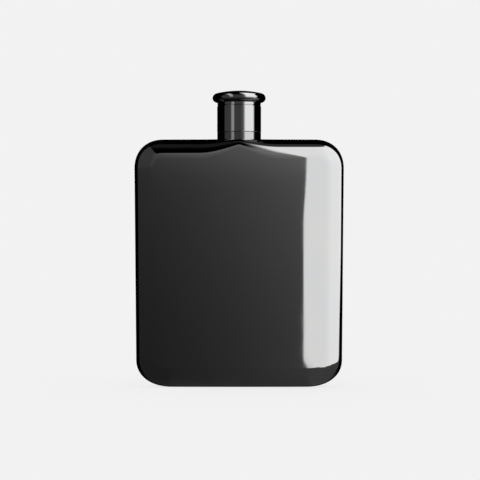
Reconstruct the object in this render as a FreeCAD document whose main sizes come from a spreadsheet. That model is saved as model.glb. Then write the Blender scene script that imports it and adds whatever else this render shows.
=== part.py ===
import FreeCAD, Part
import math
import os

import Sketcher
from FreeCAD import Vector

# A slim hip flask in polished stainless steel with a screw cap, in millimetres.
# The front faces -Y, +Z is up and the origin is the middle of the flat foot.
# Two pressed half shells meet in a seam weld round the middle of the edge. The edge is rounded
# nearly full all the way round, and tightens where the round neck lands on the top.
# The neck is a threaded spout with a polished collar. The cap is a sleeve with a lipped head,
# a moulded threaded insert and a soft disc that seals on the mouth of the spout.

DRIVING_SIZES = {
    # body
    "body_height": 112.2,
    "body_depth": 24.0,
    "top_half_width": 47.7,
    "side_lean": 0.56,
    "wall": 0.6,
    "crown_radius": 700.0,
    "top_corner_radius": 12.3,
    "low_corner_side_radius": 9.6,
    "low_corner_foot_radius": 20.8,
    "low_corner_split": 35.0,
    "edge_radius": 8.0,
    "neck_edge_radius": 3.45,
    "shoulder_reach": 13.0,
    "seam_width": 0.7,
    # neck
    "collar_radius": 9.95,
    "collar_height": 3.2,
    "collar_sink": 2.0,
    "spout_radius": 7.8,
    "bore_radius": 6.3,
    "spout_tail": 2.6,
    "mouth_height": 12.05,
    "mouth_round": 0.4,
    "assembly_gap": 0.05,
    "weld_leg": 0.7,
    "weld_edge": 0.15,
    # thread
    "thread_pitch": 2.5,
    "male_crest_radius": 8.5,
    "male_start": 5.2,
    "male_rise": 5.5,
    "male_crest_half": 0.35,
    "male_root_half": 0.85,
    "female_crest_radius": 8.0,
    "female_start": 4.9,
    "female_rise": 5.0,
    "female_crest_half": 0.32,
    "female_root_half": 0.85,
    "thread_bite": 0.2,
    # cap
    "sleeve_radius": 10.0,
    "sleeve_wall": 0.5,
    "sleeve_length": 12.1,
    "sleeve_gap": 0.15,
    "sleeve_top_round": 0.35,
    "sleeve_foot_round": 0.12,
    "groove": 0.3,
    "head_neck_radius": 9.85,
    "lip_radius": 12.1,
    "lip_height": 3.25,
    "lip_lower_round": 1.9,
    "lip_upper_round": 2.15,
    "lip_fillet": 0.55,
    "dome_rise": 1.15,
    "spigot_length": 1.25,
    "core_radius": 6.5,
    "core_depth": 4.2,
    "insert_recess": 0.3,
    "insert_root_radius": 8.75,
    "insert_top_wall": 0.8,
    "gasket_radius": 8.6,
    "gasket_thickness": 1.2,
}

MARGIN = 5.0  # how far cutting tools reach past what they cut
TOUCH = 0.01  # points this close count as being on the same plane
LEVEL_AXIS, UPRIGHT_AXIS = -1, -2  # the numbers by which a sketch knows its own two axes

doc = FreeCAD.newDocument("hip_flask")


class Size:
    """A length or angle as its number and as the spreadsheet expression that gives it."""

    def __init__(self, value, text):
        self.value = value
        self.text = text

    def joined(self, other, sign, value):
        return Size(value, f"({self.text} {sign} {as_size(other).text})")

    def __add__(self, other):
        return self.joined(other, "+", self.value + as_size(other).value)

    def __sub__(self, other):
        return self.joined(other, "-", self.value - as_size(other).value)

    def __mul__(self, other):
        return self.joined(other, "*", self.value * as_size(other).value)

    def __truediv__(self, other):
        return self.joined(other, "/", self.value / as_size(other).value)

    def __neg__(self):
        return self * -1


def as_size(number):
    return number if isinstance(number, Size) else Size(float(number), str(number))


def cosine(angle):
    return Size(math.cos(math.radians(angle.value)), f"cos({angle.text} * 1 deg)")


def sine(angle):
    return Size(math.sin(math.radians(angle.value)), f"sin({angle.text} * 1 deg)")


def tangent(angle):
    return Size(math.tan(math.radians(angle.value)), f"tan({angle.text} * 1 deg)")


def root(size):
    return Size(math.sqrt(size.value), f"sqrt({size.text})")


class Sheet:
    """The spreadsheet of driving sizes: each one is an attribute that holds its Size."""

    def __init__(self, sizes):
        cells = doc.addObject("Spreadsheet::Sheet", "sizes")
        for row, (alias, number) in enumerate(sizes.items(), start=1):
            cells.set(f"A{row}", alias)
            cells.set(f"B{row}", str(number))
            cells.setAlias(f"B{row}", alias)
            setattr(self, alias, Size(number, f"sizes.{alias}"))


S = Sheet(DRIVING_SIZES)
doc.recompute()

ZERO = as_size(0)
ONE = as_size(1)
RIGHT_ANGLE = as_size(90)


def bind(feature, **sizes):
    """Each named property of the feature follows its Size."""
    for name, size in sizes.items():
        feature.setExpression(name, size.text)


# ---------------------------------------------------------------- sketches


def new_body(label):
    body = doc.addObject("PartDesign::Body", label)
    body.Label = label
    return body


def arc_geometry(start, end, radius):
    """The arc from start to end. It turns left where radius is positive, right where it is negative."""
    chord = end - start
    half = chord.Length / 2
    reach = math.sqrt(radius * radius - half * half)
    side = Vector(-chord.y, chord.x, 0).normalize() * math.copysign(reach, radius)
    centre = start + chord / 2 + side
    first, last = (start, end) if radius > 0 else (end, start)
    angles = [math.atan2(p.y - centre.y, p.x - centre.x) for p in (first, last)]
    circle = Part.Circle(centre, Vector(0, 0, 1), abs(radius))
    return Part.ArcOfCircle(circle, *angles)


def hold_point(sketch, geometry, end, x, y):
    """Fixes one end of a segment at (x, y), measured from the sketch's origin."""
    for kind, axis, size in (("DistanceX", UPRIGHT_AXIS, x), ("DistanceY", LEVEL_AXIS, y)):
        if size is ZERO:
            sketch.addConstraint(Sketcher.Constraint("PointOnObject", geometry, end, axis))
            continue
        constraint = Sketcher.Constraint(kind, LEVEL_AXIS, 1, geometry, end, size.value)
        index = sketch.addConstraint(constraint)
        sketch.setExpression(f"Constraints[{index}]", size.text)


def closed_sketch(body, name, corners, arcs=None):
    """A closed outline in the body's XZ plane.

    arcs maps a corner's index to the radius of the arc that leaves it.
    """
    arcs = arcs or {}
    sketch = body.newObject("Sketcher::SketchObject", name)
    plane = next(f for f in body.Origin.OriginFeatures if f.Role == "XZ_Plane")
    sketch.AttachmentSupport = (plane, "")
    sketch.MapMode = "FlatFace"
    points = [Vector(x.value, y.value, 0) for x, y in corners]
    starts, ends = [], []
    for i, start in enumerate(points):
        end = points[(i + 1) % len(points)]
        if i in arcs:
            radius = arcs[i].value
            geometry = sketch.addGeometry(arc_geometry(start, end, radius))
            first, last = (1, 2) if radius > 0 else (2, 1)
        else:
            geometry = sketch.addGeometry(Part.LineSegment(start, end))
            first, last = 1, 2
        starts.append((geometry, first))
        ends.append((geometry, last))
    for i in range(len(points)):
        sketch.addConstraint(Sketcher.Constraint("Coincident", *ends[i - 1], *starts[i]))
        hold_point(sketch, *starts[i], *corners[i])
    for i, radius in arcs.items():
        constraint = Sketcher.Constraint("Radius", starts[i][0], abs(radius.value))
        index = sketch.addConstraint(constraint)
        sign = 1 if radius.value > 0 else -1
        sketch.setExpression(f"Constraints[{index}]", (radius * sign).text)
    return sketch


def turned(label, corners, arcs=None):
    """A body turned about the Z axis from its half section."""
    body = new_body(label)
    sketch = closed_sketch(body, f"{label}_section", corners, arcs)
    turn = body.newObject("PartDesign::Revolution", f"{label}_turning")
    turn.Profile = sketch
    turn.ReferenceAxis = (sketch, ["V_Axis"])
    turn.Angle = 360
    return body


def add_thread(body, start, rise, crest_radius, root_radius, crest_half, root_half):
    """A right-hand ridge wound up the Z axis, with a trapezoid tooth that starts in the XZ plane."""
    label = body.Label
    tooth = closed_sketch(
        body,
        f"{label}_tooth",
        [
            (root_radius, start - root_half),
            (crest_radius, start - crest_half),
            (crest_radius, start + crest_half),
            (root_radius, start + root_half),
        ],
    )
    helix = body.newObject("PartDesign::AdditiveHelix", f"{label}_thread")
    helix.Profile = tooth
    helix.ReferenceAxis = (tooth, ["V_Axis"])
    helix.Mode = "pitch-height-angle"
    bind(helix, Pitch=S.thread_pitch, Height=rise)
    return helix


# ---------------------------------------------------------------- pressed body


def pair(kind, label, base, tool):
    """A Part::Cut or Part::Common of two objects."""
    result = doc.addObject(kind, label)
    result.Label = label
    result.Base = base
    result.Tool = tool
    return result


def mirrored(label, source, normal):
    image = doc.addObject("Part::Mirroring", label)
    image.Label = label
    image.Source = source
    image.Normal = normal
    return image


def with_image(label, source, normal):
    """The source and its mirror image, made one."""
    whole = doc.addObject("Part::MultiFuse", label)
    whole.Shapes = [source, mirrored(f"{label}_image", source, normal)]
    return whole


def flask_form(label, inset):
    """The body as one solid, drawn in by inset on every side."""
    half = with_image(f"{label}_front", rounded_quarter(f"{label}_quarter", inset), Vector(1, 0, 0))
    return with_image(label, half, Vector(0, 1, 0))


def rounded_quarter(label, inset):
    """The front right quarter: a slab of the outline, crowned in front and rounded along the edge."""
    body = new_body(f"{label}_slab")
    sketch = quarter_outline(body, inset)
    pad = body.newObject("PartDesign::Pad", f"{label}_pad")
    pad.Profile = sketch
    pad.Refine = False  # the shoulder stays an edge of its own
    bind(pad, Length=S.body_depth / 2 - inset)

    crown = doc.addObject("Part::Cylinder", f"{label}_crown")
    bind(crown, Radius=S.crown_radius - inset, Height=S.body_height)
    crown.setExpression("Placement.Base.y", (S.crown_radius - S.body_depth / 2).text)
    crowned = pair("Part::Common", f"{label}_crowned", body, crown)
    crowned.Refine = False
    doc.recompute()

    quarter = doc.addObject("Part::Fillet", label)
    quarter.Base = crowned
    quarter.Edges = rounded_edges(crowned.Shape, inset.value)
    return quarter


def quarter_outline(body, inset):
    """The right half of the outline, from the middle of the foot round to the middle of the top."""
    foot = ZERO + inset
    top = S.body_height - inset
    corner = S.top_corner_radius - inset
    low_side = S.low_corner_side_radius - inset
    low_foot = S.low_corner_foot_radius - inset
    lean = S.side_lean
    split = S.low_corner_split

    def side_x(height):
        """Half the width between the leaning sides, before the corners are rounded."""
        drop = (S.body_height - height) * tangent(lean)
        return S.top_half_width - drop - inset / cosine(lean)

    # The foot line turns into the leaning side through two arcs, the flatter one first.
    low_width = low_foot * sine(split) + low_side * (cosine(lean) - sine(split))
    low_height = low_foot * (ONE - cosine(split)) + low_side * (cosine(split) - sine(lean))
    foot_end = side_x(foot + low_height) - low_width
    top_run = corner / tangent((RIGHT_ANGLE - lean) / 2)
    corners = [
        (ZERO, foot),
        (foot_end, foot),
        (foot_end + low_foot * sine(split), foot + low_foot * (ONE - cosine(split))),
        (foot_end + low_width, foot + low_height),
        (side_x(top) - top_run * sine(lean), top - top_run * cosine(lean)),
        (side_x(top) - top_run, top),
        (S.shoulder_reach, top),
        (ZERO, top),
    ]
    return closed_sketch(body, f"{body.Label}_outline", corners, {1: low_foot, 2: low_side, 4: corner})


def rounded_edges(shape, inset):
    """The crowned face's outline as (edge index, radius at its start, radius at its end).

    The fillet walks the outline in the direction of the first edge listed, and takes each edge's
    two radii in the order of that walk.
    """
    middle = S.body_height.value / 2
    top = S.body_height.value - inset - TOUCH
    reach = S.shoulder_reach.value + TOUCH
    wide = S.edge_radius.value - inset
    tight = S.neck_edge_radius.value - inset
    outline = []
    for index, edge in enumerate(shape.Edges, start=1):
        ends = [edge.valueAt(p) for p in (edge.FirstParameter, edge.LastParameter)]
        on_face = all(p.y < -wide for p in ends)
        on_mirror = all(p.x < TOUCH for p in ends)
        if not on_face or on_mirror:
            continue
        on_shoulder = all(p.z > top and p.x < reach for p in ends)
        centre = edge.CenterOfMass
        turn = math.atan2(centre.z - middle, centre.x)
        outline.append((turn, index, ends, [wide, tight if on_shoulder else wide]))
    outline.sort(key=lambda entry: entry[0])
    foot_start, foot_end = outline[0][2]
    towards_neck = foot_start.x < foot_end.x
    return [(index, *(radii if towards_neck else reversed(radii))) for _, index, _, radii in outline]


def block(label, low_y, high_y):
    """A box that covers the whole flask from low_y to high_y."""
    box = doc.addObject("Part::Box", label)
    overhang = as_size(MARGIN)
    half_length = S.top_half_width + overhang
    bind(box, Length=half_length * 2, Width=high_y - low_y, Height=S.body_height + overhang * 2)
    box.setExpression("Placement.Base.x", (-half_length).text)
    box.setExpression("Placement.Base.y", low_y.text)
    box.setExpression("Placement.Base.z", (-overhang).text)
    return box


def pressed_body(outer, inner):
    """The front shell, its mirror image behind and the weld between them, open where the neck goes in."""
    hollow = pair("Part::Cut", "hollow", outer, inner)
    hole = doc.addObject("Part::Cylinder", "neck_hole")
    bind(hole, Radius=S.spout_radius + S.assembly_gap, Height=S.body_height)
    hole.setExpression("Placement.Base.z", (S.body_height / 2).text)
    open_body = pair("Part::Cut", "open_body", hollow, hole)
    weld_half = S.seam_width / 2
    front_block = block("front_block", -(S.body_depth / 2 + MARGIN), -weld_half)
    front = pair("Part::Common", "front_shell", open_body, front_block)
    rear = mirrored("rear_shell", front, Vector(0, 1, 0))
    weld = pair("Part::Common", "seam_weld", open_body, block("seam_block", -weld_half, weld_half))
    return [front, rear, weld]


# ---------------------------------------------------------------- neck

collar_top = S.body_height + S.collar_height
mouth = S.body_height + S.mouth_height
tail = S.body_height - S.spout_tail


def neck_collar(outer):
    """The polished ring under the cap, whose foot is cut to sit on the rounded shoulder."""
    inside = S.spout_radius + S.assembly_gap
    foot = S.body_height - S.collar_sink
    edge = S.sleeve_foot_round
    ring = turned(
        "collar_ring",
        [
            (inside, foot),
            (S.collar_radius, foot),
            (S.collar_radius, collar_top - edge),
            (S.collar_radius - edge, collar_top),
            (inside, collar_top),
        ],
        {2: edge},
    )
    return pair("Part::Cut", "neck_collar", ring, outer)


def neck_spout():
    """The tube through the top of the body, threaded outside and rounded at the mouth."""
    lip = S.mouth_round
    spout = turned(
        "neck_spout",
        [
            (S.bore_radius, tail),
            (S.spout_radius, tail),
            (S.spout_radius, mouth - lip),
            (S.spout_radius - lip, mouth),
            (S.bore_radius + lip, mouth),
            (S.bore_radius, mouth - lip),
        ],
        {2: lip, 4: lip},
    )
    add_thread(
        spout,
        start=S.body_height + S.male_start,
        rise=S.male_rise,
        crest_radius=S.male_crest_radius,
        root_radius=S.spout_radius - S.thread_bite,
        crest_half=S.male_crest_half,
        root_half=S.male_root_half,
    )
    return spout


def neck_weld(inner):
    """The bead that holds the spout to the underside of the top."""
    side = S.spout_radius + S.assembly_gap / 2
    under = S.body_height - S.wall
    edge = under - S.weld_edge
    ring = turned(
        "weld_ring",
        [
            (side, edge - S.weld_leg),
            (side + S.weld_leg, edge),
            (side + S.weld_leg, under + S.weld_leg),
            (side, under + S.weld_leg),
        ],
        {0: S.weld_leg},
    )
    return pair("Part::Common", "neck_weld", ring, inner)


# ---------------------------------------------------------------- cap

sleeve_foot = collar_top + S.sleeve_gap
sleeve_top = sleeve_foot + S.sleeve_length
sleeve_bore = S.sleeve_radius - S.sleeve_wall
shoulder = sleeve_top + S.groove
gasket_foot = mouth + S.assembly_gap
gasket_top = gasket_foot + S.gasket_thickness
insert_roof = gasket_top + S.assembly_gap


def cap_sleeve():
    """The plain skirt of the cap."""
    top_round = S.sleeve_top_round
    foot_round = S.sleeve_foot_round
    return turned(
        "cap_sleeve",
        [
            (sleeve_bore, sleeve_foot),
            (S.sleeve_radius - foot_round, sleeve_foot),
            (S.sleeve_radius, sleeve_foot + foot_round),
            (S.sleeve_radius, sleeve_top - top_round),
            (S.sleeve_radius - top_round, sleeve_top),
            (sleeve_bore, sleeve_top),
        ],
        {1: foot_round, 3: top_round},
    )


def cap_head():
    """The lipped head, with a spigot pressed into the sleeve and a core bored out from below."""
    middle = shoulder + S.lip_height
    low_centre = S.lip_radius - S.lip_lower_round
    high_centre = S.lip_radius - S.lip_upper_round
    # The hollow fillet touches the neck of the head and the lower half of the lip.
    fillet_centre = S.head_neck_radius + S.lip_fillet
    reach = S.lip_lower_round + S.lip_fillet
    across = fillet_centre - low_centre
    drop = root(reach * reach - across * across)
    share = S.lip_lower_round / reach
    spigot_radius = sleeve_bore - S.assembly_gap / 2
    spigot_foot = sleeve_top - S.spigot_length
    # The domed top runs on smoothly from the upper half of the lip.
    dome_drop = (high_centre * high_centre - S.dome_rise * S.dome_rise) / (S.dome_rise * 2)
    dome_inner_radius = dome_drop + S.dome_rise
    dome_radius = dome_inner_radius + S.lip_upper_round
    upper_share = S.lip_upper_round / dome_inner_radius
    return turned(
        "cap_head",
        [
            (S.core_radius, spigot_foot),
            (spigot_radius, spigot_foot),
            (spigot_radius, shoulder),
            (S.head_neck_radius, shoulder),
            (S.head_neck_radius, middle - drop),
            (low_centre + across * share, middle - drop * share),
            (S.lip_radius, middle),
            (high_centre + high_centre * upper_share, middle + dome_drop * upper_share),
            (ZERO, middle + S.lip_upper_round + S.dome_rise),
            (ZERO, spigot_foot + S.core_depth),
            (S.core_radius, spigot_foot + S.core_depth),
        ],
        {4: -S.lip_fillet, 5: S.lip_lower_round, 6: S.lip_upper_round, 7: dome_radius},
    )


def cap_insert():
    """The moulded liner, closed at the top, whose ridge runs half a pitch from the spout's."""
    foot = sleeve_foot + S.insert_recess
    outside = sleeve_bore - S.assembly_gap
    insert = turned(
        "cap_insert",
        [
            (S.insert_root_radius, foot),
            (outside, foot),
            (outside, insert_roof + S.insert_top_wall),
            (ZERO, insert_roof + S.insert_top_wall),
            (ZERO, insert_roof),
            (S.insert_root_radius, insert_roof),
        ],
    )
    add_thread(
        insert,
        start=S.body_height + S.female_start,
        rise=S.female_rise,
        crest_radius=S.female_crest_radius,
        root_radius=S.insert_root_radius + S.thread_bite,
        crest_half=S.female_crest_half,
        root_half=S.female_root_half,
    )
    # Turning the liner back by the difference in height puts the two ridges half a pitch apart.
    ahead = S.female_start - S.male_start - S.thread_pitch / 2
    insert.setExpression("Placement.Rotation.Angle", (ahead / S.thread_pitch * 360).text)
    return insert


def cap_gasket():
    """The soft disc that is pressed on the mouth."""
    disc = doc.addObject("Part::Cylinder", "cap_gasket")
    disc.Label = "cap_gasket"
    bind(disc, Radius=S.gasket_radius, Height=S.gasket_thickness)
    disc.setExpression("Placement.Base.z", gasket_foot.text)
    return disc


# ---------------------------------------------------------------- build and export


def check_document():
    broken = [o.Name for o in doc.Objects if {"Invalid", "Error"} & set(o.State)]
    if broken:
        raise RuntimeError(f"these objects failed: {broken}")


def export(parts):
    os.makedirs("parts", exist_ok=True)
    for part in parts:
        shape = part.Shape
        if shape.isNull() or not shape.isValid() or not shape.Solids:
            raise RuntimeError(f"{part.Label} has no valid solid")
        shape.exportStep(os.path.join("parts", f"{part.Label}.step"))
        print(f"{part.Label}: {len(shape.Solids)} solid, {shape.Volume:.1f} mm3")


outer_form = flask_form("outer_form", ZERO)
inner_form = flask_form("inner_form", S.wall)
parts = pressed_body(outer_form, inner_form)
parts += [neck_collar(outer_form), neck_spout(), neck_weld(inner_form)]
parts += [cap_sleeve(), cap_head(), cap_insert(), cap_gasket()]
doc.recompute()
check_document()
export(parts)
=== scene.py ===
import math

import bpy
import numpy as np
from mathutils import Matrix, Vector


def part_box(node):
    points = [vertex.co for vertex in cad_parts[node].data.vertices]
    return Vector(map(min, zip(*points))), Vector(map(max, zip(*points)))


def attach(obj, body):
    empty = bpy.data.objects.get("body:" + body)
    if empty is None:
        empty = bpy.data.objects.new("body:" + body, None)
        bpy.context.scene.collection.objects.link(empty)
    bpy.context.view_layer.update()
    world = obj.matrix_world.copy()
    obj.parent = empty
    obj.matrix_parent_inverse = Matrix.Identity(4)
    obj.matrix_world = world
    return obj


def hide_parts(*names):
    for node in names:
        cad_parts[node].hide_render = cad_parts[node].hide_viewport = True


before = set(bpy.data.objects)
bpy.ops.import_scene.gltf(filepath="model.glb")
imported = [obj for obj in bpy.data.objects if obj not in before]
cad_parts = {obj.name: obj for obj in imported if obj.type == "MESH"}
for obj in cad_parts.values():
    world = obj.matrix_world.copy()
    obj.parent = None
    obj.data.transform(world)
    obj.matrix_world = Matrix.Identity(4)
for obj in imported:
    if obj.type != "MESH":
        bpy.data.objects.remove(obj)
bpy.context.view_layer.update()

# A mirror-polished, gunmetal plated hip flask. Lengths are metres, in the frame of the CAD model.
# The polished pieces are rebuilt here as fine meshes with exact normals, because a mirror shows
# every facet. The spout, its weld, the liner and the seal keep their CAD shapes.

MM = 0.001

# ---------------------------------------------------------------- sizes

shell_low, shell_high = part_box("front_shell")
_, collar_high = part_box("neck_collar")
sleeve_low, sleeve_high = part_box("cap_sleeve")
head_low, head_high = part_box("cap_head")

HEIGHT = shell_high[2]
HALF_DEPTH = -shell_low[1]
SEAM_HALF = -shell_high[1]
HALF_WIDTH = shell_high[0]

WALL = 0.6 * MM
LEAN = math.radians(0.56)  # each side leans in towards the foot by this
CROWN = 700 * MM  # radius of the gentle bow across the front and rear faces
ROUNDNESS = 2.2  # exponent of the superellipse in corners and edges; 2 is an arc
TOP_CORNER = 13.4 * MM
LOW_CORNER_X = 16.4 * MM
LOW_CORNER_Z = 12.3 * MM
# Half the width between the leaning sides where they would meet the top without its corners.
# The widest point of the outline lies at the lower end of the top corner.
SIDE_TOP = HALF_WIDTH + TOP_CORNER * math.sin(LEAN)
EDGE = 8.9 * MM  # how far the rounded edge reaches over the face
NECK_EDGE = 3.8 * MM  # the same in the middle of the top, beside the neck
NECK_SPREAD = 17.5 * MM  # how far from the middle the edge is full again
NECK_CREST = 0.5 * MM  # how softly it turns from narrowing to widening in the middle
HOLE = 7.85 * MM  # radius of the hole that the spout goes through
INSIDE_HOLE = HOLE * 0.99  # outline points nearer the middle than this lie over the hole

COLLAR = collar_high[0]  # its bore is the same as the hole
COLLAR_SINK = 0.2 * MM  # how far the collar goes into the top of the body
FOOT_FLARE = 0.05 * MM  # how far the collar's foot stands out
FOOT_FILLET = 0.3 * MM  # radius of the curve that leads out to it
SLEEVE = sleeve_high[0]
SLEEVE_BORE = 9.5 * MM
SLEEVE_TOP_ROUND = 0.35 * MM
RIM_ROUND = 0.12 * MM  # the fine round on both sides of the parting line under the cap
LIP = head_high[0]
LIP_LOWER = 1.9 * MM
LIP_UPPER = 2.15 * MM
LIP_FILLET = 0.55 * MM
HEAD_NECK = 9.85 * MM  # radius of the head between the groove and the lip
GROOVE = 0.3 * MM  # height of the groove between the sleeve and the head
DOME_RISE = 1.15 * MM
SPIGOT = 9.475 * MM  # radius of the part that sits inside the sleeve
CORE = 6.5 * MM  # radius of the hollow in its underside
CORE_DEPTH = 4.2 * MM

# How many steps the meshes have: the outline, then the shells from face to seam, then a turn.
HOLE_STEPS = 14
TOP_STEPS = 30
CORNER_STEPS = 44
SIDE_STEPS = 40
FOOT_STEPS = 16
EDGE_STEPS = 34
FACE_RINGS = 8
SEGMENTS = 192

ON_AXIS = 1e-7  # a radius below this counts as none
SAME_DIGITS = 9  # points of a profile that agree to so many decimals are one

# ---------------------------------------------------------------- mesh building


class Builder:
    """A mesh whose every face corner has its own exact normal."""

    def __init__(self):
        self.points = []
        self.faces = []
        self.normals = []

    def add_points(self, points):
        """Adds points and gives the number of the first."""
        first = len(self.points)
        self.points.extend(tuple(p) for p in points)
        return first

    def add_face(self, corners, normals):
        """Adds a face with the numbers of its points and a normal for each."""
        self.faces.append(tuple(corners))
        self.normals.extend(tuple(n) for n in normals)

    def flat_face(self, corners):
        """Adds a face with the normal of its own plane."""
        a, b, c = (np.array(self.points[i]) for i in (corners[0], corners[1], corners[-1]))
        normal = unit(np.cross(b - a, c - a))
        self.add_face(corners, [normal] * len(corners))

    def piece(self, name):
        """The finished mesh as an object in the scene."""
        mesh = bpy.data.meshes.new(name)
        mesh.from_pydata(self.points, [], self.faces)
        mesh.polygons.foreach_set("use_smooth", [True] * len(mesh.polygons))
        mesh.normals_split_custom_set(self.normals)
        mesh.update()
        return add_object(name, mesh)


def add_object(name, data):
    """A new object in the scene, made from a mesh or a camera."""
    made = bpy.data.objects.new(name, data)
    bpy.context.scene.collection.objects.link(made)
    return made


def unit(vectors):
    """The same directions with length 1."""
    vectors = np.asarray(vectors, dtype=float)
    return vectors / np.linalg.norm(vectors, axis=-1, keepdims=True)


# ---------------------------------------------------------------- the body's form


def side_x(height):
    """Half the width of the outline at a height, before its corners are rounded."""
    return SIDE_TOP - (HEIGHT - height) * math.tan(LEAN)


class Corner:
    """A superellipse corner between a level line and the leaning side."""

    def __init__(self, reach_x, reach_z, up):
        rise = reach_z * math.cos(LEAN)
        centre_z = HEIGHT - rise if up else rise
        self.reach = reach_x, reach_z
        self.centre = np.array([side_x(centre_z) - reach_x, centre_z])
        self.along_side = np.array([math.sin(LEAN), math.cos(LEAN)]) * (1 if up else -1)

    def at(self, turn):
        """Point and outward normal. turn runs from 0 at the level line to 1 at the side."""
        angle = turn * math.pi / 2
        across = math.sin(angle) ** (2 / ROUNDNESS)
        along = math.cos(angle) ** (2 / ROUNDNESS)
        reach_x, reach_z = self.reach
        point = self.centre + np.array([reach_x * across, 0]) + self.along_side * reach_z * along
        pull_x = across ** (ROUNDNESS - 1) / reach_x
        pull_z = along ** (ROUNDNESS - 1) / reach_z
        lean_x, lean_z = self.along_side
        normal = np.array([pull_x, (pull_z - pull_x * lean_x) / lean_z])
        return point, unit(normal)


def half_outline():
    """The right half of the outline from the middle of the top to the middle of the foot.

    Each entry is (x, z, normal x, normal z). The first entries lie over the hole for the spout.
    """
    top = Corner(TOP_CORNER, TOP_CORNER, up=True)
    low = Corner(LOW_CORNER_X, LOW_CORNER_Z, up=False)
    hole_edge = math.sqrt(HOLE**2 - SEAM_HALF**2)
    top_end = top.at(0)[0][0]
    low_end = low.at(0)[0][0]
    top_x = [hole_edge * math.sin(i / HOLE_STEPS * math.pi / 2) for i in range(HOLE_STEPS)]
    top_x += list(np.linspace(hole_edge, top_end, TOP_STEPS, endpoint=False))
    line = [(x, HEIGHT, 0, 1) for x in top_x]
    line += [(*p, *n) for p, n in map(top.at, np.linspace(0, 1, CORNER_STEPS + 1))]
    start, normal = top.at(1)
    end, _ = low.at(1)
    for share in np.linspace(0, 1, SIDE_STEPS + 1)[1:-1]:
        line.append((*(start + (end - start) * share), *normal))
    line += [(*p, *n) for p, n in map(low.at, np.linspace(1, 0, CORNER_STEPS + 1))]
    line += [(x, 0, 0, -1) for x in np.linspace(low_end, 0, FOOT_STEPS + 1)[1:]]
    return np.array(line)


def outline():
    """The whole outline, clockwise as seen from the front, without the middle points twice."""
    right = half_outline()
    left = right[-2:0:-1] * np.array([-1, 1, -1, 1])
    return np.vstack([right, left])


def edge_reach(x, z):
    """How far the rounded edge reaches over the face: less beside the neck, in full elsewhere."""
    away = np.minimum((np.sqrt(x**2 + NECK_CREST**2) - NECK_CREST) / NECK_SPREAD, 1)
    by_neck = (1 - away) ** 2 * (1 + away / 2) * (z > HEIGHT / 2)
    return EDGE - (EDGE - NECK_EDGE) * by_neck


def bow(x):
    """How far a face has fallen away from its middle, at x from the middle."""
    return CROWN - np.sqrt(CROWN**2 - x**2)


def face_normals(x):
    """Outward normals of the front face at x from its middle."""
    slope = x / np.sqrt(CROWN**2 - x**2)
    return unit(np.stack([slope, -np.ones_like(x), np.zeros_like(x)], axis=-1))


def edge_surface(columns, reach, turn):
    """The front rounded edge: turn is 0 where it leaves the face and 1 where it meets the side."""
    x, z, normal_x, normal_z = columns.T
    out = np.sin(turn * math.pi / 2) ** (2 / ROUNDNESS)
    forward = np.cos(turn * math.pi / 2) ** (2 / ROUNDNESS)
    inset = reach * (1 - out)
    px = x - normal_x * inset
    pz = z - normal_z * inset
    py = -(HALF_DEPTH - bow(px) - reach * (1 - forward))
    return np.stack([px, py, pz], axis=-1)


def edge_normals(columns, reach, turn):
    """Normals of the rounded edge at one turn, from differences along and across it.

    The difference along it is taken at the same reach, so that the softbox's mirror image runs
    straight past the neck instead of bending with the narrowing edge.
    """
    nudge = 1e-4  # of a turn
    low, high = max(turn - nudge, 0), min(turn + nudge, 1)
    across = edge_surface(columns, reach, high) - edge_surface(columns, reach, low)
    here = edge_surface(columns, reach, turn)
    ahead = edge_surface(np.roll(columns, -1, axis=0), reach, turn) - here
    behind = here - edge_surface(np.roll(columns, 1, axis=0), reach, turn)
    along = unit(ahead) / np.linalg.norm(ahead, axis=1, keepdims=True)
    along += unit(behind) / np.linalg.norm(behind, axis=1, keepdims=True)
    return unit(np.cross(along, across))


def shell_rows():
    """Rows of the front shell's outer points and normals, from the face's middle to the seam."""
    columns = outline()
    x, z, normal_x, normal_z = columns.T
    reach = edge_reach(x, z)
    rows = []
    inner_edge = edge_surface(columns, reach, 0)
    for ring in range(1, FACE_RINGS):
        share = ring / FACE_RINGS
        px = inner_edge[:, 0] * share
        pz = HEIGHT / 2 + (inner_edge[:, 2] - HEIGHT / 2) * share
        points = np.stack([px, bow(px) - HALF_DEPTH, pz], axis=-1)
        rows.append((points, face_normals(px)))
    for step in range(EDGE_STEPS + 1):
        turn = step / EDGE_STEPS
        points = edge_surface(columns, reach, turn)
        if step == 0:
            normals = face_normals(points[:, 0])
        elif step == EDGE_STEPS:
            normals = np.stack([normal_x, np.zeros_like(x), normal_z], axis=-1)
        else:
            normals = edge_normals(columns, reach, turn)
        rows.append((points, normals))
    over_hole = (z > HEIGHT / 2) & (np.abs(x) < HOLE)
    rim = np.where(over_hole, np.sqrt(np.maximum(HOLE**2 - x**2, SEAM_HALF**2)), SEAM_HALF)
    rows.append((np.stack([x, -rim, z], axis=-1), rows[-1][1]))
    return rows


def shell(name, mirror):
    """A half shell: mirror is 1 for the front and -1 for the rear, its image."""
    flip = np.array([1, mirror, 1])
    outer_rows = shell_rows()
    build = Builder()
    rims = []
    for depth, facing in ((0, 1), (WALL, -1)):
        middle = np.array([0, depth - HALF_DEPTH, HEIGHT / 2]) * flip
        centre = build.add_points([middle]), np.array([0, -1, 0]) * flip * facing
        rows = []
        for points, normals in outer_rows:
            first = build.add_points((points - normals * depth) * flip)
            rows.append((first, normals * flip * facing))
        cover_layer(build, centre, rows, turned_over=mirror != facing)
        rims.append(rows[-1][0])
    outer_rim, inner_rim = rims
    count = len(outer_rows[0][0])
    for i in range(count):
        j = (i + 1) % count
        corners = [outer_rim + i, outer_rim + j, inner_rim + j, inner_rim + i]
        build.flat_face(corners if mirror > 0 else corners[::-1])
    return build.piece(name)


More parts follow.
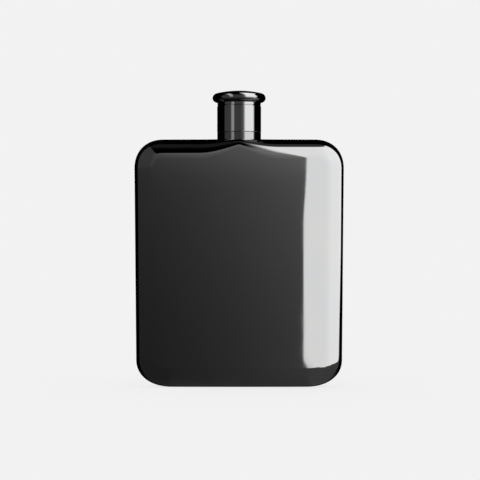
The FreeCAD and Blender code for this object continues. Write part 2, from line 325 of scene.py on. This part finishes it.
def cover_layer(build, centre, rows, turned_over):
    """The faces of one layer of a half shell: a fan in the middle, then rings of quads."""
    middle, middle_normal = centre
    first, first_normals = rows[0]
    count = len(first_normals)
    for i in range(count):
        j = (i + 1) % count
        corners = [middle, first + i, first + j]
        normals = [middle_normal, first_normals[i], first_normals[j]]
        if not turned_over:
            corners, normals = corners[::-1], normals[::-1]
        build.add_face(corners, normals)
    for (low, low_normals), (high, high_normals) in zip(rows, rows[1:]):
        for i in range(count):
            j = (i + 1) % count
            corners = [low + i, low + j, high + j, high + i]
            normals = [low_normals[i], low_normals[j], high_normals[j], high_normals[i]]
            if turned_over:
                corners, normals = corners[::-1], normals[::-1]
            build.add_face(corners, normals)


def seam(name):
    """The weld between the shells: a flush strip round the edge, open where the spout goes in."""
    columns = outline()
    welded = (columns[:, 1] <= HEIGHT / 2) | (np.abs(columns[:, 0]) >= INSIDE_HOLE)
    start = int(np.argmax(welded))
    strip = np.roll(columns, -start, axis=0)[: np.count_nonzero(welded)]
    build = Builder()
    sections = []
    for x, z, normal_x, normal_z in strip:
        inner_x = x - normal_x * WALL
        inner_z = z - normal_z * WALL
        corners = [
            (x, -SEAM_HALF, z),
            (x, SEAM_HALF, z),
            (inner_x, SEAM_HALF, inner_z),
            (inner_x, -SEAM_HALF, inner_z),
        ]
        sections.append((build.add_points(corners), np.array([normal_x, 0, normal_z])))
    for (low, low_normal), (high, high_normal) in zip(sections, sections[1:]):
        for side in range(4):
            ahead = (side + 1) % 4
            corners = [low + side, high + side, high + ahead, low + ahead]
            if side == 0:
                build.add_face(corners, [low_normal, high_normal, high_normal, low_normal])
            else:
                build.flat_face(corners)
    first, last = sections[0][0], sections[-1][0]
    build.flat_face([first, first + 1, first + 2, first + 3])
    build.flat_face([last + 3, last + 2, last + 1, last])
    return build.piece(name)


# ---------------------------------------------------------------- turned pieces


class Profile:
    """A closed half section, walked with the solid on the left.

    It is kept as runs of (r, z, normal r, normal z).
    """

    def __init__(self, r, z):
        self.here = (r, z)
        self.runs = []

    def line(self, r, z):
        """A straight run to (r, z)."""
        step = unit([r - self.here[0], z - self.here[1]])
        normal = (step[1], -step[0])
        self.runs.append([(*self.here, *normal), (r, z, *normal)])
        self.here = (r, z)
        return self

    def arc(self, centre_r, centre_z, start, end, radius, steps):
        """An arc about a centre between two angles in degrees. It bulges out if end is larger."""
        bulge = 1 if end > start else -1
        run = []
        for angle in np.radians(np.linspace(start, end, steps + 1)):
            r = centre_r + radius * math.cos(angle)
            z = centre_z + radius * math.sin(angle)
            run.append((r, z, bulge * math.cos(angle), bulge * math.sin(angle)))
        self.runs.append(run)
        self.here = run[-1][:2]
        return self


def turned(name, profile, height_at=None):
    """The profile turned about Z. height_at(x, y, z) may give a point another height than z."""
    build = Builder()
    angles = np.linspace(0, 2 * math.pi, SEGMENTS, endpoint=False)
    rings = {}

    def ring(r, z):
        """The numbers of the points that a point of the profile makes. It adds them once."""
        key = (round(r, SAME_DIGITS), round(z, SAME_DIGITS))
        if key not in rings:
            if r < ON_AXIS:
                rings[key] = [build.add_points([(0, 0, z)])] * SEGMENTS
            else:
                points = []
                for angle in angles:
                    x, y = r * math.cos(angle), r * math.sin(angle)
                    points.append((x, y, z if height_at is None else height_at(x, y, z)))
                first = build.add_points(points)
                rings[key] = [first + i for i in range(SEGMENTS)]
        return rings[key]

    for run in profile.runs:
        for (r0, z0, nr0, nz0), (r1, z1, nr1, nz1) in zip(run, run[1:]):
            if max(r0, r1) < ON_AXIS:
                continue  # a run along the axis makes no faces
            low, high = ring(r0, z0), ring(r1, z1)
            for i in range(SEGMENTS):
                j = (i + 1) % SEGMENTS
                ca, sa = math.cos(angles[i]), math.sin(angles[i])
                cb, sb = math.cos(angles[j]), math.sin(angles[j])
                corners = [low[i], low[j], high[j], high[i]]
                normals = [
                    (nr0 * ca, nr0 * sa, nz0),
                    (nr0 * cb, nr0 * sb, nz0),
                    (nr1 * cb, nr1 * sb, nz1),
                    (nr1 * ca, nr1 * sa, nz1),
                ]
                if low[i] == low[j]:
                    corners, normals = [corners[0], *corners[2:]], [normals[0], *normals[2:]]
                elif high[i] == high[j]:
                    corners, normals = corners[:3], normals[:3]
                build.add_face(corners, normals)
    return build.piece(name)


def cap_sleeve():
    """The plain skirt of the cap: a tube with a softly rounded top and a fine rounded foot."""
    foot, top = sleeve_low[2], sleeve_high[2]
    rim, shoulder = RIM_ROUND, SLEEVE_TOP_ROUND
    profile = Profile(SLEEVE_BORE, foot)
    profile.line(SLEEVE - rim, foot)
    profile.arc(SLEEVE - rim, foot + rim, -90, 0, rim, steps=8)
    profile.line(SLEEVE, top - shoulder)
    profile.arc(SLEEVE - shoulder, top - shoulder, 0, 90, shoulder, steps=16)
    profile.line(SLEEVE_BORE, top)
    profile.line(SLEEVE_BORE, foot)
    return turned("sleeve", profile)


def cap_head():
    """The lipped and domed top of the cap, with the spigot that sits in the top of the sleeve."""
    foot = head_low[2]
    shoulder = sleeve_high[2] + GROOVE
    middle = head_high[2] - DOME_RISE - LIP_UPPER
    low_centre, high_centre = LIP - LIP_LOWER, LIP - LIP_UPPER
    fillet_centre = HEAD_NECK + LIP_FILLET
    across = fillet_centre - low_centre
    drop = math.sqrt((LIP_LOWER + LIP_FILLET) ** 2 - across**2)
    turn = math.degrees(math.atan2(drop, across))
    # The domed top runs on smoothly from the upper half of the lip.
    dome_drop = (high_centre**2 - DOME_RISE**2) / (2 * DOME_RISE)
    dome_radius = dome_drop + DOME_RISE + LIP_UPPER
    dome_edge = math.degrees(math.atan2(dome_drop, high_centre))
    profile = Profile(CORE, foot)
    profile.line(SPIGOT, foot)
    profile.line(SPIGOT, shoulder)
    profile.line(HEAD_NECK, shoulder)
    profile.line(HEAD_NECK, middle - drop)
    profile.arc(fillet_centre, middle - drop, 180, 180 - turn, LIP_FILLET, steps=14)
    profile.arc(low_centre, middle, -turn, 0, LIP_LOWER, steps=26)
    profile.arc(high_centre, middle, 0, dome_edge, LIP_UPPER, steps=34)
    profile.arc(0, middle - dome_drop, dome_edge, 90, dome_radius, steps=20)
    profile.line(0, foot + CORE_DEPTH)
    profile.line(CORE, foot + CORE_DEPTH)
    profile.line(CORE, foot)
    return turned("head", profile)


def shoulder_height(x, y):
    """Height of the top of the body under a point beside the neck."""
    reach = edge_reach(x, HEIGHT)
    depth = HALF_DEPTH - bow(x)
    forward = max(0.0, 1 - (depth - abs(y)) / reach)
    out = (1 - forward**ROUNDNESS) ** (1 / ROUNDNESS)
    return HEIGHT - reach * (1 - out)


def neck_collar():
    """The ring under the cap. Its foot flares a little and follows the rounded top of the body."""
    foot, top, rim = HEIGHT - COLLAR_SINK, collar_high[2], RIM_ROUND
    flare_turn = math.degrees(math.acos(1 - FOOT_FLARE / FOOT_FILLET))
    fillet_rise = FOOT_FILLET * math.sin(math.radians(flare_turn))
    fillet_centre = COLLAR + FOOT_FILLET, HEIGHT + fillet_rise
    profile = Profile(HOLE, foot)
    profile.line(COLLAR + FOOT_FLARE, foot)
    profile.line(COLLAR + FOOT_FLARE, HEIGHT)
    profile.arc(*fillet_centre, 180 + flare_turn, 180, FOOT_FILLET, steps=10)
    profile.line(COLLAR, top - rim)
    profile.arc(COLLAR - rim, top - rim, 0, 90, rim, steps=8)
    profile.line(HOLE, top)
    profile.line(HOLE, foot)

    def on_shoulder(x, y, z):
        if z > HEIGHT + 2 * fillet_rise:
            return z
        return z - HEIGHT + shoulder_height(x, y)

    return turned("collar", profile, height_at=on_shoulder)


# ---------------------------------------------------------------- shader nodes


class Wire:
    """A shader value that can be used in arithmetic: each operation adds a Math node."""

    def __init__(self, tree, socket):
        self.tree = tree
        self.socket = socket

    def math(self, operation, *others):
        made = self.tree.nodes.new("ShaderNodeMath")
        made.operation = operation
        for i, value in enumerate((self, *others)):
            if isinstance(value, Wire):
                self.tree.links.new(value.socket, made.inputs[i])
            else:
                made.inputs[i].default_value = value
        return Wire(self.tree, made.outputs[0])

    def __add__(self, other):
        return self.math("ADD", other)

    def __sub__(self, other):
        return self.math("SUBTRACT", other)

    def __mul__(self, other):
        return self.math("MULTIPLY", other)

    def __truediv__(self, other):
        return self.math("DIVIDE", other)

    def ramp(self, low, high, start=0.0, end=1.0, form="SMOOTHSTEP"):
        """From start, where this is at low, to end, where it is at high, and level beyond."""
        inputs = {"Value": self, "From Min": low, "From Max": high, "To Min": start, "To Max": end}
        mapped = node(self.tree, "ShaderNodeMapRange", inputs, interpolation_type=form)
        return Wire(self.tree, mapped.outputs["Result"])

    def fade(self, low, high):
        """1 up to low, and 0 from high on."""
        return self.ramp(low, high, 1, 0)

    def edge(self, softness):
        """0 where this is negative and 1 where it is positive, with a soft step between."""
        return self.ramp(-softness, softness)

    def positive(self):
        """This value, or 0 where it is negative."""
        return self.math("MAXIMUM", 0.0)

    def toward(self, other, share):
        """This value where share is 0, the other one where it is 1."""
        return self * (share * -1.0 + 1.0) + share * other


def node(tree, kind, inputs=None, **settings):
    """A new node with its settings and inputs. An input is a number or another node's output."""
    made = tree.nodes.new(kind)
    for name, value in settings.items():
        setattr(made, name, value)
    for name, value in (inputs or {}).items():
        if isinstance(value, Wire):
            value = value.socket
        if isinstance(value, bpy.types.NodeSocket):
            tree.links.new(value, made.inputs[name])
        else:
            made.inputs[name].default_value = value
    return made


def object_place(tree):
    return node(tree, "ShaderNodeTexCoord").outputs["Object"]


def mix_shaders(tree, share, first, second):
    """The first shader where share is 0, the second where it is 1."""
    mixed = node(tree, "ShaderNodeMixShader", {"Fac": share})
    tree.links.new(first.outputs[0], mixed.inputs[1])
    tree.links.new(second.outputs[0], mixed.inputs[2])
    return mixed


# ---------------------------------------------------------------- materials

MIDDLE_NOISE = (0.3, 0.7)  # the span that holds nearly all of a noise


class Finish:
    """A material whose colour, roughness and bump come from noise in the piece's own space."""

    def __init__(self, name, metallic=0.0):
        self.material = bpy.data.materials.new(name)
        self.material.use_nodes = True
        self.tree = self.material.node_tree
        self.shader = self.tree.nodes["Principled BSDF"]
        self.shader.inputs["Metallic"].default_value = metallic
        self.place = object_place(self.tree)

    def noise(self, scale, detail, stretch=(1, 1, 1)):
        """Noise with features of about 1 / scale metres, as a Wire from 0 to 1."""
        mapping = node(self.tree, "ShaderNodeMapping", {"Vector": self.place, "Scale": stretch})
        inputs = {"Vector": mapping.outputs[0], "Scale": scale, "Detail": detail}
        return Wire(self.tree, node(self.tree, "ShaderNodeTexNoise", inputs).outputs["Fac"])

    def tint(self, noise, first, second, span=MIDDLE_NOISE):
        """The colour goes from first to second as the noise goes through the span."""
        inputs = {"Factor": noise.ramp(*span), "A": (*first, 1), "B": (*second, 1)}
        mixed = node(self.tree, "ShaderNodeMix", inputs, data_type="RGBA").outputs["Result"]
        self.tree.links.new(mixed, self.shader.inputs["Base Color"])

    def roughness(self, noise, first, second, span=MIDDLE_NOISE):
        """The roughness goes from first to second as the noise goes through the span."""
        value = noise.ramp(*span, first, second)
        self.tree.links.new(value.socket, self.shader.inputs["Roughness"])

    def bump(self, noise, height):
        bump = node(self.tree, "ShaderNodeBump", {"Height": noise, "Distance": height})
        self.tree.links.new(bump.outputs[0], self.shader.inputs["Normal"])


def plate(name, tone, clear, hazy):
    """Black-chrome plate over polished steel: a dark mirror with the faint haze of handling.

    tone is how much it reflects. The roughness goes from clear to hazy.
    """
    cool, warm = np.array([0.98, 0.99, 1.0]), np.array([1.02, 1.01, 1.0])
    chrome = Finish(name, metallic=1.0)
    haze = chrome.noise(60, detail=4)
    swell = chrome.noise(22, detail=1)
    chrome.tint(haze, cool * tone, warm * tone)
    chrome.roughness(haze, clear, hazy, span=(0.35, 0.8))
    chrome.bump(swell, 0.004 * MM)
    return chrome.material


def turned_steel():
    """Bare steel off the lathe: fine rings round the axis, satin rather than bright."""
    clean, stained = (0.55, 0.545, 0.53), (0.47, 0.465, 0.46)
    steel = Finish("turned_steel", metallic=1.0)
    rings = steel.noise(1, detail=3, stretch=(40, 40, 5200))
    stain = steel.noise(160, detail=3)
    steel.tint(stain, clean, stained, span=(0.35, 0.7))
    steel.roughness(rings, 0.24, 0.36)
    steel.bump(rings, 0.006 * MM)
    return steel.material


def weld_metal():
    """The bead that holds the spout: dull steel with ripples and a straw tint from the heat."""
    grey, straw = (0.42, 0.4, 0.38), (0.46, 0.39, 0.28)
    weld = Finish("weld_metal", metallic=1.0)
    ripple = weld.noise(900, detail=2, stretch=(1, 1, 0.3))
    heat = weld.noise(130, detail=2)
    weld.tint(heat, grey, straw, span=(0.35, 0.65))
    weld.roughness(heat, 0.34, 0.48)
    weld.bump(ripple, 0.05 * MM)
    return weld.material


def moulded_liner():
    """Black moulded plastic with a fine grain, a little shinier where the mould was smoother."""
    black, worn = (0.018, 0.018, 0.019), (0.03, 0.03, 0.031)
    liner = Finish("moulded_liner")
    grain = liner.noise(2600, detail=2)
    flow = liner.noise(90, detail=2)
    liner.tint(flow, black, worn)
    liner.roughness(flow, 0.34, 0.5)
    liner.bump(grain, 0.015 * MM)
    return liner.material


def silicone():
    """Milky silicone rubber: light enters it a little, and its skin is matt with a faint bloom."""
    milky, bloomed = (0.74, 0.74, 0.72), (0.82, 0.82, 0.81)
    rubber = Finish("silicone_seal")
    bloom = rubber.noise(220, detail=4)
    rubber.tint(bloom, milky, bloomed, span=(0.35, 0.7))
    rubber.roughness(bloom, 0.48, 0.62)
    rubber.bump(bloom, 0.01 * MM)
    rubber.shader.inputs["Subsurface Weight"].default_value = 0.35
    rubber.shader.inputs["Subsurface Scale"].default_value = 1.2 * MM
    return rubber.material


# ---------------------------------------------------------------- the pieces

# The neck and the cap are polished finer than the body. The studio tells them apart by that, and
# shows them other softboxes.
body_plate = plate("body_plate", tone=0.24, clear=0.02, hazy=0.035)
collar_plate = plate("collar_plate", tone=0.2, clear=0.001, hazy=0.003)
cap_plate = plate("cap_plate", tone=0.24, clear=0.001, hazy=0.003)

front = shell("shell_front", mirror=1)
rear = shell("shell_rear", mirror=-1)
made_pieces = [
    (front, "flask", "front_shell", body_plate),
    (rear, "flask", "rear_shell", body_plate),
    (seam("seam"), "flask", "seam_weld", body_plate),
    (neck_collar(), "flask", "neck_collar", collar_plate),
    (cap_sleeve(), "cap", "cap_sleeve", cap_plate),
    (cap_head(), "cap", "cap_head", cap_plate),
]
for piece, body, stands_for, material in made_pieces:
    piece.data.materials.append(material)
    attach(piece, body)
    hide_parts(stands_for)

kept_nodes = {
    "neck_spout": turned_steel(),
    "neck_weld": weld_metal(),
    "cap_insert": moulded_liner(),
    "cap_gasket": silicone(),
}
for name, material in kept_nodes.items():
    for material_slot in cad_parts[name].material_slots:
        material_slot.material = material

# ---------------------------------------------------------------- stage, light and camera

PALE = 0.888  # brightness of the floor and of what lies behind the flask


def lit_surface(name, make_shader):
    """A material that shows the shader which make_shader adds to its tree."""
    material = bpy.data.materials.new(name)
    material.use_nodes = True
    tree = material.node_tree
    tree.nodes.clear()
    output = node(tree, "ShaderNodeOutputMaterial")
    tree.links.new(make_shader(tree).outputs[0], output.inputs["Surface"])
    return material


def backdrop():
    """A level floor, nearly as bright as the world behind it, with a faint shadow."""
    half = 6.0
    shading = 0.12  # share of the light that falls on the floor, beside its own glow

    def pale(tree):
        colour = (PALE, PALE, PALE, 1)
        glow = node(tree, "ShaderNodeEmission", {"Color": colour})
        matte = node(tree, "ShaderNodeBsdfDiffuse", {"Color": colour})
        return mix_shaders(tree, shading, glow, matte)

    corners = [(-half, -half, 0), (half, -half, 0), (half, half, 0), (-half, half, 0)]
    mesh = bpy.data.meshes.new("floor")
    mesh.from_pydata(corners, [], [(0, 1, 2, 3)])
    mesh.materials.append(lit_surface("pale_floor", pale))
    floor = add_object("floor", mesh)
    floor.visible_glossy = False


class Sky:
    """The direction that a ray leaves in, as shader values. Angles are in degrees.

    ahead points at the camera, x to the right of the picture and z up. The azimuth is 0 ahead
    and grows to the right.
    """

    def __init__(self, tree):
        place = node(tree, "ShaderNodeTexCoord").outputs["Generated"]
        parts = node(tree, "ShaderNodeSeparateXYZ", {"Vector": place})
        self.x, y, self.z = (Wire(tree, out) for out in parts.outputs)
        self.ahead = y * -1.0
        self.azimuth = self.x.math("ARCTAN2", self.ahead) * math.degrees(1)
        self.elevation = self.z.math("ARCSINE") * math.degrees(1)


def body_room(sky):
    """What the body mirrors: a grey room, a black ceiling, and a tall softbox on the right."""
    x, ahead, z, azimuth, elevation = sky.x, sky.ahead, sky.z, sky.azimuth, sky.elevation

    # The wall is lighter to the right, and lighter upwards: by a slope and then two steps.
    wall_tone, wall_swing, wall_reach = 0.138, 0.56, 0.156
    across = x.ramp(-wall_reach, wall_reach, -wall_swing, wall_swing, "LINEAR")
    slope = elevation.ramp(-5, 4, form="LINEAR")
    steps = elevation.ramp(2.2, 4.0) + elevation.ramp(12, 18)
    level_share, slope_share, step_share = 0.65, 0.9, azimuth.ramp(-30, -9, 0.13, 0.9)
    upwards = slope * slope * slope_share + steps * step_share + level_share
    wall = across.math("EXPONENT") * wall_tone * upwards

    # The black ceiling starts at a slanting front edge, and ends on the left and the right.
    front_slant, left_slant, zenith_tone = 0.49, 0.613, 0.035
    ceiling = (z - ahead * front_slant).edge(0.02) * (x + z * left_slant).edge(0.03)
    ceiling = ceiling * x.fade(0.008, 0.035)
    room = wall.toward(elevation.ramp(50, 70, 0.0, zenith_tone), ceiling)

    # The softbox's left edge leans over to the left and grows softer towards the top.
    # The room beyond that edge is dusky high up.
    low_x, high_x, lean_start, lean = 0.1165, 0.122, 0.08, 0.125
    sharpest, softening, dusk = 0.0008, 0.022, 0.1
    left_edge = elevation.ramp(1, 3, low_x, high_x) - (z - lean_start).positive() * lean
    left_softness = z.positive() * softening + sharpest
    beside = ((x - left_edge) / left_softness).edge(1)
    room = room.toward(dusk, beside * elevation.ramp(40, 60))

    # Its lower edge drops to the right, in slopes that make round corners.
    ahead_share, side_share = 0.285, 0.185
    drop = azimuth.ramp(6.4, 7.4, 0.17, 0.19) + azimuth.ramp(7.6, 12, 0, 0.36, "LINEAR")
    drop = drop + azimuth.ramp(12, 20, 0, 0.3, "LINEAR") - azimuth.ramp(40, 60, 0, 0.13)
    over_foot = z + (ahead * ahead_share + x * side_share) * drop
    foot_softness = azimuth.ramp(7, 11, 0.0012, 0.02)
    softbox = beside * (over_foot / foot_softness).edge(1) * elevation.fade(63, 69)
    brightness = azimuth.ramp(7, 50, 2.7, 3.05) + elevation.ramp(-5, 20, 0.0, 0.2)
    room = room.toward(brightness, softbox)

    # Behind the flask all is black but what lies far down. The right end of the room comes
    # nearer as it rises, and also below the horizon.
    end_lean, low_step = 0.3, 9
    narrowing = elevation.positive() * end_lean + elevation.ramp(-3, 0, low_step, 0)
    ends = azimuth.ramp(-114, -105) * (azimuth + narrowing).fade(119.5, 122.5)
    return room * ends.toward(1.0, elevation.fade(-55, -20))


def cap_room(sky):
    """What the neck and the cap mirror: a strip light on the left, a wide softbox on the right."""
    x, ahead, z, azimuth, elevation = sky.x, sky.ahead, sky.z, sky.azimuth, sky.elevation

    # The wall is lightest at the level of the flask, and lighter to the right.
    right_glow = 0.2
    wall = elevation.ramp(-70, 5, 0.035, 0.155) - elevation.ramp(5, 30, 0.0, 0.055)
    wall = wall + azimuth.ramp(4, 26) * elevation.ramp(-45, 5) * right_glow

    # The black ceiling is a wedge between a left, a right and a front edge, all slanting.
    left_slant, right_slant, front_slant = 0.43, 0.31, 1.2
    ceiling = (x + z * left_slant).edge(0.02) * (z * right_slant - x).edge(0.02)
    wall = wall.toward(0.0, ceiling * (z - ahead * front_slant).edge(0.03))

    # The strip light and the softbox grow brighter upwards.
    strip = x.ramp(-0.72, -0.6) * x.fade(-0.5, -0.38) * elevation.ramp(-30, 25, 0.0, 1.2)
    brightness = elevation.ramp(-45, 15, 0.03, 3.0) + elevation.ramp(35, 62, 0.0, 0.3)
    softbox = azimuth.ramp(21, 36) * brightness

    # Behind the flask all is black. The right end moves back high up.
    right_end = (azimuth - elevation.ramp(40, 50, 0, 28)).fade(77, 89)
    return (wall + strip + softbox) * azimuth.ramp(-86, -77) * right_end


def studio():
    """The light: a pale even room for rough things, and softboxes in the dark for the mirrors."""
    world = bpy.data.worlds.new("studio")
    bpy.context.scene.world = world
    world.use_nodes = True
    tree = world.node_tree
    tree.nodes.clear()
    sky = Sky(tree)
    rays = node(tree, "ShaderNodeLightPath")

    def light(strength):
        return node(tree, "ShaderNodeBackground", {"Color": (1, 1, 1, 1), "Strength": strength})

    # The first mirror image has a ray depth of 2. The later ones, of one polished piece in
    # another, are dimmed to this share.
    later_share = 0.25
    dimming = Wire(tree, rays.outputs["Ray Depth"]).ramp(2.2, 2.8, 1.0, later_share)
    body_light, cap_light = light(body_room(sky)), light(cap_room(sky) * dimming)
    # A ray is singular when it leaves a mirror as sharp as the neck and the cap.
    mirrored = mix_shaders(tree, rays.outputs["Is Singular Ray"], body_light, cap_light)
    lit = mix_shaders(tree, rays.outputs["Is Glossy Ray"], light(1.0), mirrored)
    seen = mix_shaders(tree, rays.outputs["Is Camera Ray"], lit, light(PALE))
    output = node(tree, "ShaderNodeOutputWorld")
    tree.links.new(seen.outputs[0], output.inputs["Surface"])


def rear_wall(receiver):
    """A curved wall of soft light behind the flask, which lights only the receiver."""
    radius, low, high = 1.5, -0.7, 0.75
    start, end, steps = math.radians(122), math.radians(238), 48

    def soft_light(tree):
        parts = node(tree, "ShaderNodeSeparateXYZ", {"Vector": object_place(tree)})
        x, y, z = (Wire(tree, out) for out in parts.outputs)
        azimuth = x.math("ARCTAN2", y * -1.0).math("ABSOLUTE") * math.degrees(1)
        strip_strength = 2.2
        strip = azimuth.ramp(146, 150) * azimuth.fade(160, 166) * strip_strength
        upwards = z.ramp(low, high * 0.6, 0.1, 0.42)
        across = x.ramp(-1.2, 1.2, 0.0, 0.2)
        inputs = {"Color": (1, 1, 1, 1), "Strength": upwards + across + strip}
        return node(tree, "ShaderNodeEmission", inputs)

    points = []
    for angle in np.linspace(start, end, steps + 1):
        for height in (low, high):
            points.append((radius * math.sin(angle), -radius * math.cos(angle), height))
    faces = [(2 * i, 2 * i + 2, 2 * i + 3, 2 * i + 1) for i in range(steps)]
    mesh = bpy.data.meshes.new("rear_wall")
    mesh.from_pydata(points, [], faces)
    mesh.materials.append(lit_surface("soft_wall", soft_light))
    wall = add_object("rear_wall", mesh)
    wall.visible_camera = False
    wall.visible_diffuse = False
    wall.visible_shadow = False
    lit = bpy.data.collections.new("lit_by_rear_wall")
    lit.objects.link(receiver)
    wall.light_linking.receiver_collection = lit


def camera():
    """Square on to the front, a little below the middle, with a long lens."""
    distance = 850 * MM
    eye_height = 57 * MM
    aim_height = 66.6 * MM
    aim_x = 0.4 * MM
    frame_width = 218.6 * MM  # what the picture spans at the flask
    data = bpy.data.cameras.new("camera")
    data.sensor_width = 36
    data.lens = data.sensor_width * distance / frame_width
    data.clip_start = 0.01
    data.clip_end = 100
    view = add_object("camera", data)
    view.location = (aim_x, -distance, eye_height)
    tilt = math.atan2(aim_height - eye_height, distance)
    view.rotation_euler = (math.pi / 2 + tilt, 0, 0)
    bpy.context.scene.camera = view


backdrop()
studio()
rear_wall(receiver=rear)
camera()
bpy.context.scene.view_settings.view_transform = "Standard"
